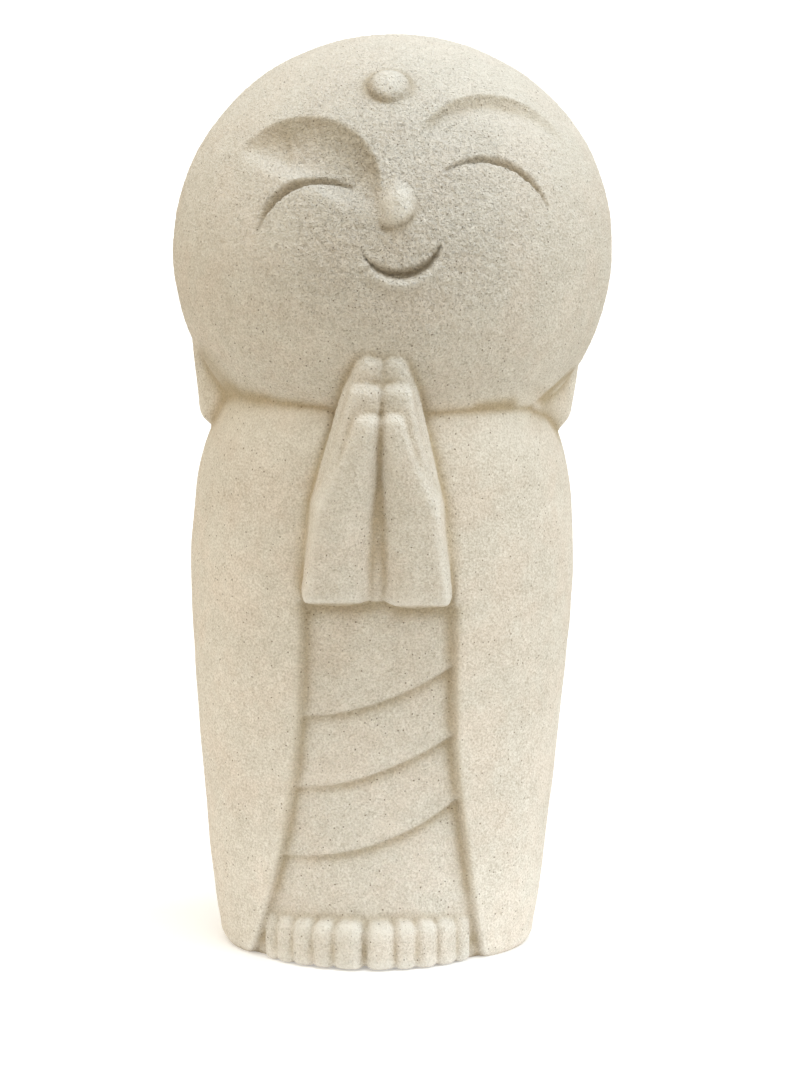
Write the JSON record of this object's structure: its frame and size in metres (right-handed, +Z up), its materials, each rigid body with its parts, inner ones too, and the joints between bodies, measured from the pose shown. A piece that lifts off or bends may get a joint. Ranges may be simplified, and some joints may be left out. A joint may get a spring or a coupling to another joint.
{
  "type": "praying monk figurine",
  "caption": "Free-standing garden figurine of a round-headed monk with closed eyes, palms together and a wrapped robe, cast in one piece in sandy stone.",
  "frame": {"origin": "middle of the flat underside", "axes": "+Z up, the figure looks along -Y, +X to the viewer's right"},
  "size_m": [0.1901, 0.1794, 0.4],
  "materials": {
    "cast_stone": "matt cream cast sandstone with a gritty grain of about a millimetre, sparse brown specks and darker crevices"
  },
  "bodies": {
    "root": {"praying_monk": "cast_stone"}
  },
  "joints": []
}
